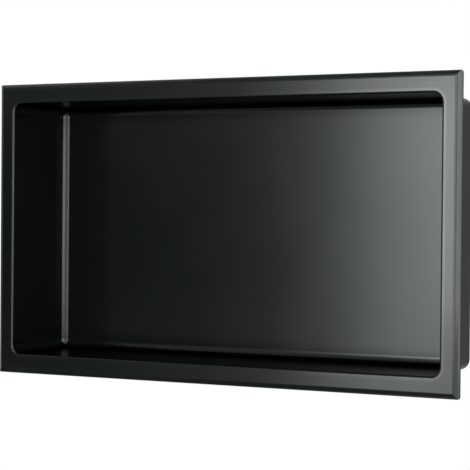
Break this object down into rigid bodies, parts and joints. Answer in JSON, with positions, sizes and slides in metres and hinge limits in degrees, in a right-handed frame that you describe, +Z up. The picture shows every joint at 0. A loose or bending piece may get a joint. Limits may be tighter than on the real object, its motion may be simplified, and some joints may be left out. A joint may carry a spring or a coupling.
{
  "type": "shower niche insert",
  "caption": "Recessed wall niche insert in dark satin sheet metal: an open-front box with a flange frame whose rounded edge turns back into a lip that seats on the tiled wall.",
  "frame": {"origin": "centre of the flange's seat, in the plane where its lip meets the wall face", "axes": "+X to the right as seen from the front, +Y into the wall, +Z up; the opening faces -Y"},
  "size_m": [0.508, 0.1, 0.305],
  "materials": {
    "niche_shell": "satin"
  },
  "bodies": {
    "root": {"niche_shell": "niche_shell"}
  },
  "joints": []
}
